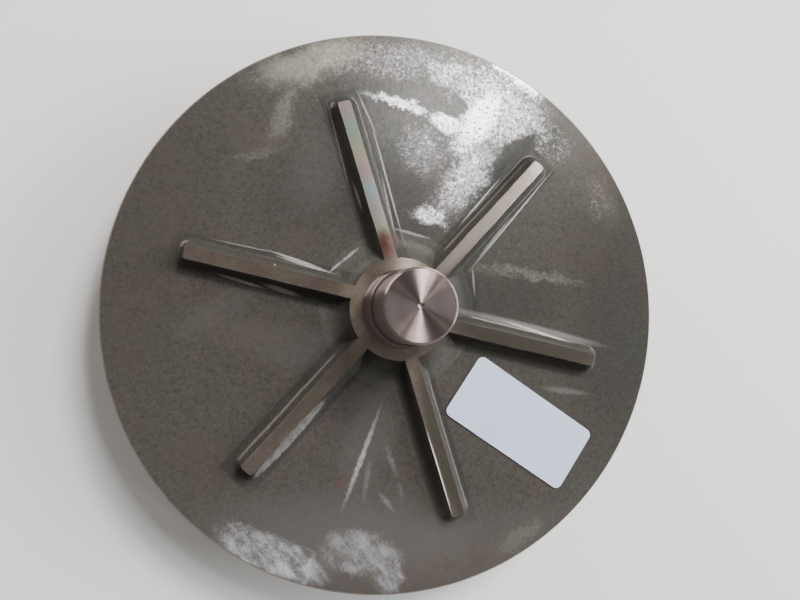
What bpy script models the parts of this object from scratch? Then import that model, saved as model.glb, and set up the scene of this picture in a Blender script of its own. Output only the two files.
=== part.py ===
"""Open pump impeller, built in its own frame.

The casting is one piece: a disc with six low radial ribs and a round solid stub
on its upper side, and six curved working vanes round a closed nose on its under
side. A low collar stands round the foot of the stub. The impeller rests on the tips
of the working vanes. The axis is +Z and passes through the origin, the stub points
up, and z = 0 is the plane of the vane tips. A blank paper label lies on the disc
between two ribs.
"""
import math

import bpy
from mathutils import Matrix, Vector

MM = 0.001

# Disc
DISC_RADIUS = 108.0 * MM
DISC_THICKNESS = 6.5 * MM
RIM_CHAMFER = 0.6 * MM
TURNED_STEPS = 96

# Stub, collar and hub on the ribbed side
STUB_RADIUS = 13.0 * MM
STUB_LENGTH = 32.0 * MM
STUB_CHAMFER = 0.8 * MM
CENTRE_MARK_RADIUS = 1.1 * MM
CENTRE_MARK_DEPTH = 0.9 * MM
COLLAR_RADIUS = 14.25 * MM
COLLAR_LENGTH = 13.0 * MM
COLLAR_CHAMFER = 0.4 * MM
COLLAR_ROOT_FILLET = 0.8 * MM
HUB_FOOT_RADIUS = 28.0 * MM
HUB_FILLET = 9.0 * MM

# Low ribs on the ribbed side
RIB_COUNT = 6
RIB_HEIGHT = 6.0 * MM
RIB_TOP_WIDTH = 4.9 * MM
RIB_TIP_RADIUS = 81.2 * MM
RIB_ROOT_RADIUS = 14.2 * MM
RIB_SET_OVER = 1.85 * MM
RIB_CORNER = 1.0 * MM
RIB_FILLET = 4.4 * MM
RIB_DRAFT = math.radians(16.0)
FIRST_RIB_ANGLE = math.radians(47.1)

# Working vanes on the hidden side
VANE_COUNT = 6
VANE_HEIGHT = 22.0 * MM
VANE_THICKNESS = 5.0 * MM
VANE_INLET_RADIUS = 27.0 * MM
VANE_ANGLE = math.radians(36.0)
VANE_DRAFT = math.radians(2.5)
VANE_FILLET = 3.0 * MM
VANE_TIP_BREAK = 0.4 * MM
VANE_OVERRUN = 6.0 * MM
VANE_STEPS = 14
VANE_NOSE_STEPS = 6
FIRST_VANE_ANGLE = math.radians(17.1)

# Closed nose in the middle of the hidden side
NOSE_ROOT_RADIUS = 31.0 * MM
NOSE_END_RADIUS = 9.0 * MM
NOSE_CLEARANCE = 3.0 * MM
NOSE_CROWN = 1.2 * MM
NOSE_SHOULDER = 0.8 * MM
NOSE_SHOULDER_SHARE = 0.6
NOSE_STEPS = 8

# Paper label between two ribs
LABEL_WIDTH = 57.0 * MM
LABEL_HEIGHT = 27.0 * MM
LABEL_CORNER = 2.6 * MM
LABEL_THICKNESS = 0.25 * MM
LABEL_RADIUS = 66.6 * MM
LABEL_ANGLE = math.radians(-42.3)
LABEL_TURN = math.radians(-34.3)

# How far joined shapes run into each other, and the gap between separate pieces
OVERLAP = 1.0 * MM
FEATHER = 0.2 * MM
CLEARANCE = 0.3 * MM
CUTTER_WIDTH = 20.0 * MM
MERGE_DISTANCE = 0.01 * MM
ARC_STEPS = 4
HUB_STEPS = 6

# Heights along the axis
DISC_BACK_Z = VANE_HEIGHT
DISC_FACE_Z = DISC_BACK_Z + DISC_THICKNESS
RIB_TOP_Z = DISC_FACE_Z + RIB_HEIGHT
COLLAR_TOP_Z = RIB_TOP_Z + COLLAR_LENGTH
STUB_END_Z = RIB_TOP_Z + STUB_LENGTH


def clear_scene():
    for item in list(bpy.data.objects):
        bpy.data.objects.remove(item, do_unlink=True)


def new_collection(name):
    collection = bpy.data.collections.new(name)
    bpy.context.scene.collection.children.link(collection)
    return collection


def new_material(name, colour, roughness, metallic):
    material = bpy.data.materials.new(name)
    material.use_nodes = True
    shader = material.node_tree.nodes["Principled BSDF"]
    shader.inputs["Base Color"].default_value = (*colour, 1.0)
    shader.inputs["Roughness"].default_value = roughness
    shader.inputs["Metallic"].default_value = metallic
    return material


def arc(centre, radius, start, end, steps):
    """Points of an arc, both ends included."""
    points = []
    for step in range(steps + 1):
        angle = start + (end - start) * step / steps
        points.append((centre[0] + radius * math.cos(angle), centre[1] + radius * math.sin(angle)))
    return points


def link_mesh(name, vertices, edges, faces, collection):
    mesh = bpy.data.meshes.new(name)
    mesh.from_pydata(vertices, edges, faces)
    mesh.update()
    item = bpy.data.objects.new(name, mesh)
    collection.objects.link(item)
    return item


def turned(name, profile, collection, closed=False):
    """Revolve a profile of (radius, height) points, listed down its outer side."""
    vertices = [(radius, 0.0, height) for radius, height in profile]
    edges = [(index, index + 1) for index in range(len(profile) - 1)]
    if closed:
        edges.append((len(profile) - 1, 0))
    item = link_mesh(name, vertices, edges, [], collection)
    screw = item.modifiers.new("Turn", "SCREW")
    screw.axis = "Z"
    screw.steps = TURNED_STEPS
    screw.render_steps = TURNED_STEPS
    screw.use_merge_vertices = True
    screw.merge_threshold = MERGE_DISTANCE
    screw.use_smooth_shade = True
    return item


def lofted(name, outline, levels, collection):
    """Stack the outline at each (offset, height) level, lowest first, and cap both ends."""
    vertices = []
    for offset, height in levels:
        vertices += [(x, y, height) for x, y in outline(offset)]
    count = len(vertices) // len(levels)
    faces = [tuple(reversed(range(count)))]
    for level in range(len(levels) - 1):
        low = level * count
        high = low + count
        for index in range(count):
            following = (index + 1) % count
            faces.append((low + index, low + following, high + following, high + index))
    faces.append(tuple(range(len(vertices) - count, len(vertices))))
    return link_mesh(name, vertices, [], faces, collection)


def wall_levels(height, draft, fillet):
    """Offsets and heights of a drafted wall that a fillet joins to the disc, root first.

    Heights are counted from the disc's surface, and the root starts inside the disc.
    """
    slope = math.tan(draft)
    wall_foot = (height - fillet) * slope
    levels = [(wall_foot + fillet, -OVERLAP)]
    for step in range(ARC_STEPS + 1):
        angle = math.pi / 2 * step / ARC_STEPS
        out = wall_foot + fillet * (1.0 - math.sin(angle))
        up = fillet * (1.0 - math.cos(angle)) - FEATHER
        levels.append((out, up))
    return levels


def rib_outline(offset):
    """Rounded rectangle along +X, from inside the hub to the rib's outer end."""
    half = RIB_TOP_WIDTH / 2 + offset
    inner = RIB_ROOT_RADIUS
    outer = RIB_TIP_RADIUS + offset
    corner = RIB_CORNER + offset
    points = [(inner, half), (inner, -half)]
    points += arc((outer - corner, -half + corner), corner, -math.pi / 2, 0.0, ARC_STEPS)
    points += arc((outer - corner, half - corner), corner, 0.0, math.pi / 2, ARC_STEPS)
    return points


def vane_outline(offset):
    """Backward-curved vane with a round inlet edge, running out past the rim."""
    half = VANE_THICKNESS / 2 + offset
    end_radius = DISC_RADIUS + VANE_OVERRUN
    growth = math.log(end_radius / VANE_INLET_RADIUS)
    inner_side = []
    outer_side = []
    for step in range(VANE_STEPS + 1):
        radius = VANE_INLET_RADIUS * math.exp(growth * step / VANE_STEPS)
        turn = math.log(radius / VANE_INLET_RADIUS) / math.tan(VANE_ANGLE)
        heading = turn + math.pi / 2 - VANE_ANGLE
        point = Vector((radius * math.cos(turn), radius * math.sin(turn)))
        side = Vector((-math.sin(heading), math.cos(heading))) * half
        inner_side.append(tuple(point + side))
        outer_side.append(tuple(point - side))
    nose_start = math.pi - VANE_ANGLE
    nose = arc((VANE_INLET_RADIUS, 0.0), half, nose_start, nose_start + math.pi, VANE_NOSE_STEPS)
    return outer_side + list(reversed(inner_side)) + nose[1:-1]


def turned_body(collection):
    """Disc, hub, collar, stub and closed nose as one turned shape, a little over size.

    The hub and the rim are cut back to size later, with the ribs and vanes.
    """
    over_face = RIB_TOP_Z + OVERLAP
    profile = [(0.0, STUB_END_Z - CENTRE_MARK_DEPTH)]
    profile.append((CENTRE_MARK_RADIUS, STUB_END_Z))
    profile.append((STUB_RADIUS - STUB_CHAMFER, STUB_END_Z))
    profile.append((STUB_RADIUS, STUB_END_Z - STUB_CHAMFER))
    profile.append((STUB_RADIUS, COLLAR_TOP_Z))
    profile.append((COLLAR_RADIUS - COLLAR_CHAMFER, COLLAR_TOP_Z))
    profile.append((COLLAR_RADIUS, COLLAR_TOP_Z - COLLAR_CHAMFER))
    profile.append((COLLAR_RADIUS, over_face))
    hub_centre = (HUB_FOOT_RADIUS, DISC_FACE_Z + HUB_FILLET)
    hub_top_angle = math.pi + math.asin((hub_centre[1] - over_face) / HUB_FILLET)
    profile += arc(hub_centre, HUB_FILLET, hub_top_angle, math.pi * 1.5, HUB_STEPS)
    profile.append((DISC_RADIUS + OVERLAP, DISC_FACE_Z))
    profile.append((DISC_RADIUS + OVERLAP, DISC_BACK_Z))
    depth = DISC_BACK_Z - NOSE_CLEARANCE
    for step in range(NOSE_STEPS + 1):
        share = step / NOSE_STEPS
        radius = NOSE_END_RADIUS + (NOSE_ROOT_RADIUS - NOSE_END_RADIUS) * (1.0 - math.sin(share * math.pi / 2))
        height = DISC_BACK_Z - depth * (1.0 - math.cos(share * math.pi / 2))
        profile.append((radius, height))
    profile.append((NOSE_END_RADIUS * NOSE_SHOULDER_SHARE, NOSE_CLEARANCE - NOSE_SHOULDER))
    profile.append((0.0, NOSE_CLEARANCE - NOSE_CROWN))
    return turned("impeller_casting", profile, collection)


def facing_cutter(collection):
    """Ring that faces the hub and the rib tops flat, and leaves the collar's root fillet."""
    inner = COLLAR_RADIUS
    root_centre = (inner + COLLAR_ROOT_FILLET, RIB_TOP_Z + COLLAR_ROOT_FILLET)
    root = arc(root_centre, COLLAR_ROOT_FILLET, math.pi, math.pi * 1.5, ARC_STEPS)
    outer = DISC_RADIUS + CUTTER_WIDTH
    top = RIB_TOP_Z + CUTTER_WIDTH
    profile = [(outer, top), (outer, RIB_TOP_Z)] + list(reversed(root)) + [(inner, top)]
    return turned("facing_cutter", profile, collection, closed=True)


def rim_cutter(collection):
    """Ring that turns the disc and the vane ends to their diameter, with broken edges."""
    outer = DISC_RADIUS + CUTTER_WIDTH
    top = DISC_FACE_Z + OVERLAP
    low = -OVERLAP
    profile = [(outer, top), (outer, low), (DISC_RADIUS, low), (DISC_RADIUS, DISC_FACE_Z - RIM_CHAMFER)]
    profile.append((DISC_RADIUS - RIM_CHAMFER - OVERLAP, top))
    return turned("rim_cutter", profile, collection, closed=True)


def rib(number, collection):
    levels = wall_levels(RIB_HEIGHT, RIB_DRAFT, RIB_FILLET)
    levels.append((-OVERLAP * math.tan(RIB_DRAFT), RIB_HEIGHT + OVERLAP))
    item = lofted(f"rib_{number + 1}", rib_outline, levels, collection)
    angle = FIRST_RIB_ANGLE + number * math.tau / RIB_COUNT
    place = Matrix.Translation((0.0, 0.0, DISC_FACE_Z)) @ Matrix.Rotation(angle, 4, "Z")
    item.matrix_world = place @ Matrix.Translation((0.0, -RIB_SET_OVER, 0.0))
    return item


def vane(number, collection):
    levels = wall_levels(VANE_HEIGHT, VANE_DRAFT, VANE_FILLET)
    levels.append((VANE_TIP_BREAK * math.tan(VANE_DRAFT), VANE_HEIGHT - VANE_TIP_BREAK))
    levels.append((-VANE_TIP_BREAK, VANE_HEIGHT))
    hanging = [(offset, DISC_BACK_Z - up) for offset, up in reversed(levels)]
    item = lofted(f"working_vane_{number + 1}", vane_outline, hanging, collection)
    angle = FIRST_VANE_ANGLE + number * math.tau / VANE_COUNT
    item.matrix_world = Matrix.Rotation(angle, 4, "Z")
    return item


def combine(item, other, operation):
    """Add a Boolean modifier and keep the other shape as a hidden guide."""
    boolean = item.modifiers.new(f"{operation.title()} {other.name}", "BOOLEAN")
    boolean.operation = operation
    boolean.solver = "EXACT"
    boolean.object = other
    other.hide_render = True
    other.display_type = "WIRE"


def impeller_casting(collection, cutters):
    item = turned_body(collection)
    for number in range(RIB_COUNT):
        combine(item, rib(number, cutters), "UNION")
    for number in range(VANE_COUNT):
        combine(item, vane(number, cutters), "UNION")
    combine(item, facing_cutter(cutters), "DIFFERENCE")
    combine(item, rim_cutter(cutters), "DIFFERENCE")
    item.data.materials.append(new_material("cast_steel", (0.20, 0.18, 0.16), 0.42, 0.9))
    return item


def stock_label(collection):
    """Blank paper label with round corners, lying on the disc."""
    half_width = LABEL_WIDTH / 2 - LABEL_CORNER
    half_height = LABEL_HEIGHT / 2 - LABEL_CORNER
    centres = [(half_width, half_height), (-half_width, half_height)]
    centres += [(-half_width, -half_height), (half_width, -half_height)]
    outline = []
    for number, centre in enumerate(centres):
        start = number * math.pi / 2
        outline += arc(centre, LABEL_CORNER, start, start + math.pi / 2, ARC_STEPS)
    curve = bpy.data.curves.new("stock_label", "CURVE")
    curve.dimensions = "2D"
    curve.fill_mode = "BOTH"
    curve.extrude = LABEL_THICKNESS / 2
    spline = curve.splines.new("POLY")
    spline.points.add(len(outline) - 1)
    for point, (x, y) in zip(spline.points, outline):
        point.co = (x, y, 0.0, 1.0)
    spline.use_cyclic_u = True
    item = bpy.data.objects.new("stock_label", curve)
    collection.objects.link(item)
    x = LABEL_RADIUS * math.cos(LABEL_ANGLE)
    y = LABEL_RADIUS * math.sin(LABEL_ANGLE)
    item.location = (x, y, DISC_FACE_Z + CLEARANCE + LABEL_THICKNESS / 2)
    item.rotation_euler = (0.0, 0.0, LABEL_TURN)
    item.data.materials.append(new_material("label_paper", (0.82, 0.83, 0.86), 0.6, 0.0))
    return item


def main():
    clear_scene()
    parts = new_collection("pump_impeller")
    cutters = new_collection("cutters")
    impeller_casting(parts, cutters)
    stock_label(parts)


main()
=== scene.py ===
"""Open pump impeller, dressed: one cast and turned piece, and a blank paper label on it.

Laid out as a Blender add-on and run as a script. The casting is modelled round the
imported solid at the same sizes: a turned body, six low ribs on the upper side, six
curved working vanes on the under side, one solid in the end.
"""

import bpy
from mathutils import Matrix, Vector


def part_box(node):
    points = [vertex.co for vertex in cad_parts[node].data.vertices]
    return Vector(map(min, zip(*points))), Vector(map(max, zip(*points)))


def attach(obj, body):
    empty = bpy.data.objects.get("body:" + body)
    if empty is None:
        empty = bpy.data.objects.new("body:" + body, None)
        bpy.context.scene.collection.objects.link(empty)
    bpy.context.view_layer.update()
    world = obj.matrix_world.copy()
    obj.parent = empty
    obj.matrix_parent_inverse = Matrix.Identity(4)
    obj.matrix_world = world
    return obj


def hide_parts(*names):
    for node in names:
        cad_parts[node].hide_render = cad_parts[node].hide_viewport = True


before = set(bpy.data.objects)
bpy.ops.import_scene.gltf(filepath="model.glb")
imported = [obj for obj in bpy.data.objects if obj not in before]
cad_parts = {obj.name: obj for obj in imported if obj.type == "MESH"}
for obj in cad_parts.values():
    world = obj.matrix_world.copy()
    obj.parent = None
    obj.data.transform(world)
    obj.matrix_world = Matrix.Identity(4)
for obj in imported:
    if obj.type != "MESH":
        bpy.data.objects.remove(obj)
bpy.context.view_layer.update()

import math

import bmesh
import bpy
from bpy.props import FloatProperty, FloatVectorProperty, IntProperty, PointerProperty
from mathutils import Euler, Vector

bl_info = {
    "name": "Pump impeller finish",
    "version": (1, 0, 0),
    "blender": (4, 5, 0),
    "location": "3D View > Sidebar > Impeller",
    "description": "Models and finishes a cast open pump impeller with a blank stock label",
    "category": "Object",
}

MM = 0.001

CASTING_LOW, CASTING_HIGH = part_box("impeller_casting")
LABEL_LOW, LABEL_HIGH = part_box("stock_label")

# How far joined shapes run into each other
OVERLAP = 1.0 * MM
FEATHER = 0.2 * MM

# How far the turned faces' bright fans stand from their lights' direction, in turns
FAN_TURN = 4.0 / 360.0


class CastingSizes(bpy.types.PropertyGroup):
    """Sizes of the turned body, the ribs and the working vanes."""

    disc_radius: FloatProperty(
        name="Disc radius", description="Radius of the turned rim",
        default=CASTING_HIGH.x, subtype="DISTANCE", unit="LENGTH")
    disc_back: FloatProperty(
        name="Disc back", description="Height of the disc's under side, which is the working vanes' height",
        default=22.0 * MM, subtype="DISTANCE", unit="LENGTH")
    disc_face: FloatProperty(
        name="Disc face", description="Height of the disc's upper side",
        default=28.5 * MM, subtype="DISTANCE", unit="LENGTH")
    rib_top: FloatProperty(
        name="Rib top", description="Height of the faced rib tops and hub ring",
        default=34.5 * MM, subtype="DISTANCE", unit="LENGTH")
    collar_top: FloatProperty(
        name="Collar top", description="Height of the collar round the stub",
        default=47.5 * MM, subtype="DISTANCE", unit="LENGTH")
    stub_end: FloatProperty(
        name="Stub end", description="Height of the stub's end face",
        default=CASTING_HIGH.z, subtype="DISTANCE", unit="LENGTH")
    stub_radius: FloatProperty(
        name="Stub radius", description="Radius of the solid stub",
        default=13.0 * MM, subtype="DISTANCE", unit="LENGTH")
    collar_radius: FloatProperty(
        name="Collar radius", description="Radius of the collar round the stub",
        default=14.25 * MM, subtype="DISTANCE", unit="LENGTH")
    hub_foot: FloatProperty(
        name="Hub foot radius", description="Radius where the hub's fillet meets the disc",
        default=28.0 * MM, subtype="DISTANCE", unit="LENGTH")
    hub_fillet: FloatProperty(
        name="Hub fillet", description="Radius of the fillet between hub and disc",
        default=9.0 * MM, subtype="DISTANCE", unit="LENGTH")
    rib_count: IntProperty(name="Ribs", description="Number of low ribs", default=6, min=1)
    rib_width: FloatProperty(
        name="Rib width", description="Width of a rib's faced top",
        default=4.9 * MM, subtype="DISTANCE", unit="LENGTH")
    rib_reach: FloatProperty(
        name="Rib reach", description="Distance from the axis to a rib's outer end",
        default=81.2 * MM, subtype="DISTANCE", unit="LENGTH")
    rib_set_over: FloatProperty(
        name="Rib set-over", description="How far a rib's middle line passes beside the axis",
        default=1.85 * MM, subtype="DISTANCE", unit="LENGTH")
    rib_fillet: FloatProperty(
        name="Rib fillet", description="Radius at a rib's foot",
        default=4.4 * MM, subtype="DISTANCE", unit="LENGTH")
    rib_draft: FloatProperty(
        name="Rib draft", description="Slope of a rib's cast sides",
        default=math.radians(16.0), subtype="ANGLE")
    first_rib: FloatProperty(
        name="First rib", description="Direction of the first rib",
        default=math.radians(47.1), subtype="ANGLE")
    vane_count: IntProperty(name="Vanes", description="Number of working vanes", default=6, min=1)
    vane_thickness: FloatProperty(
        name="Vane thickness", description="Thickness of a working vane at its tip",
        default=5.0 * MM, subtype="DISTANCE", unit="LENGTH")
    vane_inlet: FloatProperty(
        name="Vane inlet radius", description="Radius where a working vane starts",
        default=27.0 * MM, subtype="DISTANCE", unit="LENGTH")
    vane_angle: FloatProperty(
        name="Vane angle", description="Angle between a working vane and the rim's direction",
        default=math.radians(36.0), subtype="ANGLE")
    vane_fillet: FloatProperty(
        name="Vane fillet", description="Radius at a working vane's foot",
        default=3.0 * MM, subtype="DISTANCE", unit="LENGTH")
    vane_draft: FloatProperty(
        name="Vane draft", description="Slope of a working vane's cast sides",
        default=math.radians(2.5), subtype="ANGLE")
    first_vane: FloatProperty(
        name="First vane", description="Direction of the first working vane's inlet edge",
        default=math.radians(17.1), subtype="ANGLE")
    nose_root: FloatProperty(
        name="Nose root radius", description="Radius where the closed nose meets the disc",
        default=31.0 * MM, subtype="DISTANCE", unit="LENGTH")
    nose_end: FloatProperty(
        name="Nose end radius", description="Radius of the closed nose near its end",
        default=9.0 * MM, subtype="DISTANCE", unit="LENGTH")


class LabelSizes(bpy.types.PropertyGroup):
    """Size and place of the paper label."""

    width: FloatProperty(
        name="Width", description="Length of the label's long side",
        default=57.0 * MM, subtype="DISTANCE", unit="LENGTH")
    height: FloatProperty(
        name="Height", description="Length of the label's short side",
        default=27.0 * MM, subtype="DISTANCE", unit="LENGTH")
    corner: FloatProperty(
        name="Corner", description="Radius of the label's corners",
        default=2.6 * MM, subtype="DISTANCE", unit="LENGTH")
    turn: FloatProperty(
        name="Turn", description="Direction of the label's long side",
        default=math.radians(-34.3), subtype="ANGLE")


class FinishColours(bpy.types.PropertyGroup):
    """Colours of the metal and the paper."""

    cast_grey: FloatVectorProperty(
        name="Cast olive", description="Olive grey of the cast skin",
        default=(0.062, 0.060, 0.051), size=3, subtype="COLOR", min=0.0, max=1.0)
    cast_brown: FloatVectorProperty(
        name="Cast brown", description="Purple brown stain on the cast skin",
        default=(0.070, 0.058, 0.052), size=3, subtype="COLOR", min=0.0, max=1.0)
    stain: FloatVectorProperty(
        name="Stain", description="Purple brown stains on the cast skin",
        default=(0.078, 0.056, 0.051), size=3, subtype="COLOR", min=0.0, max=1.0)
    # Bare metal where the skin has worn off; on the disc its amount is also graded to paint in the highlight's
    # falloff.
    bare: FloatVectorProperty(
        name="Bare metal", description="Bright rough metal where the dark skin has worn off",
        default=(0.640, 0.630, 0.640), size=3, subtype="COLOR", min=0.0, max=1.0)
    yellow_bare: FloatVectorProperty(
        name="Yellowed metal", description="Worn skin with a yellow cast",
        default=(0.520, 0.500, 0.400), size=3, subtype="COLOR", min=0.0, max=1.0)
    scuff: FloatVectorProperty(
        name="Scuff", description="Whitish rubbed places and strokes",
        default=(0.330, 0.330, 0.345), size=3, subtype="COLOR", min=0.0, max=1.0)
    # Painted highlight: colour of the glint lines drawn at the feet and flanks of the ribs.
    glint: FloatVectorProperty(
        name="Painted glint", description="Painted glint lines at the feet of the ribs",
        default=(0.420, 0.405, 0.375), size=3, subtype="COLOR", min=0.0, max=1.0)
    dust: FloatVectorProperty(
        name="Dust", description="Grey beige dust film near the lower rim",
        default=(0.100, 0.090, 0.083), size=3, subtype="COLOR", min=0.0, max=1.0)
    red_paint: FloatVectorProperty(
        name="Red spots", description="Dark red paint spots by the hub",
        default=(0.130, 0.035, 0.040), size=3, subtype="COLOR", min=0.0, max=1.0)
    # Painted highlight: colour of the top of the rib nearest the lamps.
    top_highlight: FloatVectorProperty(
        name="Painted top highlight", description="Painted highlight on the top of the rib nearest the lamps",
        default=(0.560, 0.490, 0.480), size=3, subtype="COLOR", min=0.0, max=1.0)
    turned: FloatVectorProperty(
        name="Turned steel", description="Faced rib tops and hub ring",
        default=(0.280, 0.222, 0.193), size=3, subtype="COLOR", min=0.0, max=1.0)
    stub: FloatVectorProperty(
        name="Stub steel", description="Turned stub and collar",
        default=(0.250, 0.201, 0.190), size=3, subtype="COLOR", min=0.0, max=1.0)
    paper: FloatVectorProperty(
        name="Label paper", description="Blank label paper",
        default=(0.520, 0.565, 0.725), size=3, subtype="COLOR", min=0.0, max=1.0)
    floor: FloatVectorProperty(
        name="Floor", description="Pale floor under the impeller",
        default=(0.780, 0.765, 0.745), size=3, subtype="COLOR", min=0.0, max=1.0)


class Wire:
    """A shader socket that Python expressions can be written with."""

    def __init__(self, finish, socket):
        self.finish = finish
        self.socket = socket

    def maths(self, operation, first, second=0.0):
        sockets = {0: first, 1: second}
        return self.finish.node("ShaderNodeMath", {"operation": operation}, sockets)

    def __add__(self, other):
        return self.maths("ADD", self, other)

    def __radd__(self, other):
        return self.maths("ADD", other, self)

    def __sub__(self, other):
        return self.maths("SUBTRACT", self, other)

    def __rsub__(self, other):
        return self.maths("SUBTRACT", other, self)

    def __mul__(self, other):
        return self.maths("MULTIPLY", self, other)

    def __rmul__(self, other):
        return self.maths("MULTIPLY", other, self)

    def __truediv__(self, other):
        return self.maths("DIVIDE", self, other)

    def __pow__(self, other):
        return self.maths("POWER", self, other)

    def rises(self, low, high):
        """0 below low and 1 above high, with a soft step between them."""
        sockets = {"Value": self, "From Min": low, "From Max": high}
        return self.finish.node("ShaderNodeMapRange", {"interpolation_type": "SMOOTHSTEP"}, sockets)

    def falls(self, low, high):
        """1 below low and 0 above high."""
        return 1.0 - self.rises(low, high)

    def over(self, other):
        """The larger of the two."""
        return self.maths("MAXIMUM", self, other)


class Finish:
    """A material under construction."""

    def __init__(self, name):
        self.material = bpy.data.materials.new(name)
        self.material.use_nodes = True
        self.tree = self.material.node_tree
        self.shader = self.tree.nodes["Principled BSDF"]

    def connect(self, socket, value):
        if isinstance(value, Wire):
            self.tree.links.new(value.socket, socket)
        else:
            socket.default_value = value

    def node(self, kind, settings=None, sockets=None, output=0):
        """Add a node: its settings first, then its sockets, and give one of its outputs."""
        node = self.tree.nodes.new(kind)
        for name, value in (settings or {}).items():
            if name == "stops":
                self.set_stops(node.color_ramp, value)
            else:
                setattr(node, name, value)
        for name, value in (sockets or {}).items():
            self.connect(node.inputs[name], value)
        return Wire(self, node.outputs[output])

    def set_stops(self, ramp, stops):
        while len(ramp.elements) < len(stops):
            ramp.elements.new(1.0)
        for element, (position, colour) in zip(ramp.elements, stops):
            element.position = position
            element.color = (*colour, 1.0)

    def place(self):
        """Object coordinates in millimetres."""
        here = self.node("ShaderNodeTexCoord", output="Object")
        return self.node("ShaderNodeVectorMath", {"operation": "SCALE"}, {0: here, "Scale": 1000.0})

    def part(self, vector, axis):
        return self.node("ShaderNodeSeparateXYZ", {}, {"Vector": vector}, axis)

    def noise(self, vector, size, detail=2.0, roughness=0.5, distortion=0.0):
        """Cloudy noise from 0 to 1, with features of about the given size in millimetres."""
        sockets = {"Vector": vector, "Scale": 1.0 / size, "Detail": detail,
                   "Roughness": roughness, "Distortion": distortion}
        return self.node("ShaderNodeTexNoise", {"noise_dimensions": "3D"}, sockets, "Fac")

    def ragged(self, vector, size, shift):
        """The place, pushed about by cloudy noise, so that what is drawn there gets a ragged edge."""
        sockets = {"Vector": vector, "Scale": 1.0 / size, "Detail": 2.0, "Roughness": 0.65}
        cloud = self.node("ShaderNodeTexNoise", {"noise_dimensions": "3D"}, sockets, "Color")
        middle = self.node("ShaderNodeVectorMath", {"operation": "SUBTRACT"}, {0: cloud, 1: (0.5, 0.5, 0.5)})
        push = self.node("ShaderNodeVectorMath", {"operation": "SCALE"}, {0: middle, "Scale": shift})
        return self.node("ShaderNodeVectorMath", {"operation": "ADD"}, {0: vector, 1: push})

    def marks(self, vector, places, soft=0.35):
        """Oval marks: each has its middle, half length and half width, direction and strength."""
        shown = None
        for middle, reach, turn, strength in places:
            sockets = {"Vector": vector, "Location": (*middle, 0.0), "Rotation": (0.0, 0.0, math.radians(turn)),
                       "Scale": (*reach, MARK_DEPTH)}
            near = self.node("ShaderNodeMapping", {"vector_type": "TEXTURE"}, sockets)
            far = self.node("ShaderNodeVectorMath", {"operation": "LENGTH"}, {0: near}, "Value")
            mark = far.falls(1.0 - soft, 1.0 + soft) * strength
            shown = mark if shown is None else shown.over(mark)
        return shown

    def mix(self, factor, first, second, blend="MIX"):
        """Blend two colours."""
        settings = {"data_type": "RGBA", "blend_type": blend}
        sockets = {0: factor, 6: self.colour(first), 7: self.colour(second)}
        return self.node("ShaderNodeMix", settings, sockets, 2)

    def colour(self, value):
        return value if isinstance(value, Wire) else (*value, 1.0)

    def bump(self, height, distance, strength=1.0, under=None):
        """Bend the normal by a height that is 1 at the given distance."""
        sockets = {"Height": height, "Distance": distance, "Strength": strength}
        if under is not None:
            sockets["Normal"] = under
        return self.node("ShaderNodeBump", {}, sockets)

    def dress(self, **sockets):
        """Set or link the shader's own sockets, named with _ for a space."""
        for name, value in sockets.items():
            self.connect(self.shader.inputs[name.replace("_", " ")], value)
        return self.material


def alone(item):
    """Make one object the only selected one, and the active one."""
    if bpy.context.object and bpy.context.object.mode != "OBJECT":
        bpy.ops.object.mode_set(mode="OBJECT")
    bpy.ops.object.select_all(action="DESELECT")
    item.select_set(True)
    bpy.context.view_layer.objects.active = item


def start_edit(item, mode="FACE"):
    alone(item)
    bpy.ops.object.mode_set(mode="EDIT")
    bpy.ops.mesh.select_mode(type=mode)
    bpy.ops.mesh.select_all(action="DESELECT")


def end_edit():
    bpy.ops.object.mode_set(mode="OBJECT")


def pick(item, kind, test):
    """In edit mode, select exactly the faces, edges or vertices that pass the test."""
    cage = bmesh.from_edit_mesh(item.data)
    for element in getattr(cage, kind):
        element.select_set(False)
    for element in getattr(cage, kind):
        if test(element):
            element.select_set(True)
    cage.select_flush_mode()
    bmesh.update_edit_mesh(item.data)


def named(name):
    """Name the object that an operator has just added."""
    item = bpy.context.object
    item.name = name
    item.data.name = name
    return item


def settle(item):
    """Put an object's place, turn and scale into its mesh."""
    alone(item)
    bpy.ops.object.transform_apply(location=True, rotation=True, scale=True)


def apply_modifier(item, kind, **settings):
    """Add a modifier, set it and apply it."""
    alone(item)
    modifier = item.modifiers.new(kind.title(), kind)
    for name, value in settings.items():
        setattr(modifier, name, value)
    bpy.ops.object.modifier_apply(modifier=modifier.name)


def arc(centre, radius, start, end, steps):
    """Points of an arc after its first one."""
    points = []
    for step in range(1, steps + 1):
        angle = start + (end - start) * step / steps
        points.append((centre[0] + radius * math.cos(angle), centre[1] + radius * math.sin(angle)))
    return points


def run_profile(start, stations):
    """Extrude the selected ring from station to station of (radius, height), and close it at the axis."""
    radius, height = start
    for next_radius, next_height in stations:
        lift = (0.0, 0.0, next_height - height)
        bpy.ops.mesh.extrude_region_move(TRANSFORM_OT_translate={"value": lift})
        if next_radius > 0.0:
            share = next_radius / radius
            bpy.ops.transform.resize(value=(share, share, 1.0), center_override=(0.0, 0.0, next_height))
        else:
            bpy.ops.mesh.merge(type="CENTER")
        radius, height = next_radius, next_height


def rib_section(height, draft, fillet, steps):
    """Inset and lift of each step of a filleted and drafted wall, from its foot up."""
    section = []
    for step in range(steps):
        low = math.pi / 2 * step / steps
        high = math.pi / 2 * (step + 1) / steps
        inset = fillet * (math.sin(high) - math.sin(low))
        lift = fillet * (math.cos(low) - math.cos(high))
        section.append((inset, lift))
    wall = height - fillet + FEATHER
    section.append((wall * math.tan(draft), wall))
    return section


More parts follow.
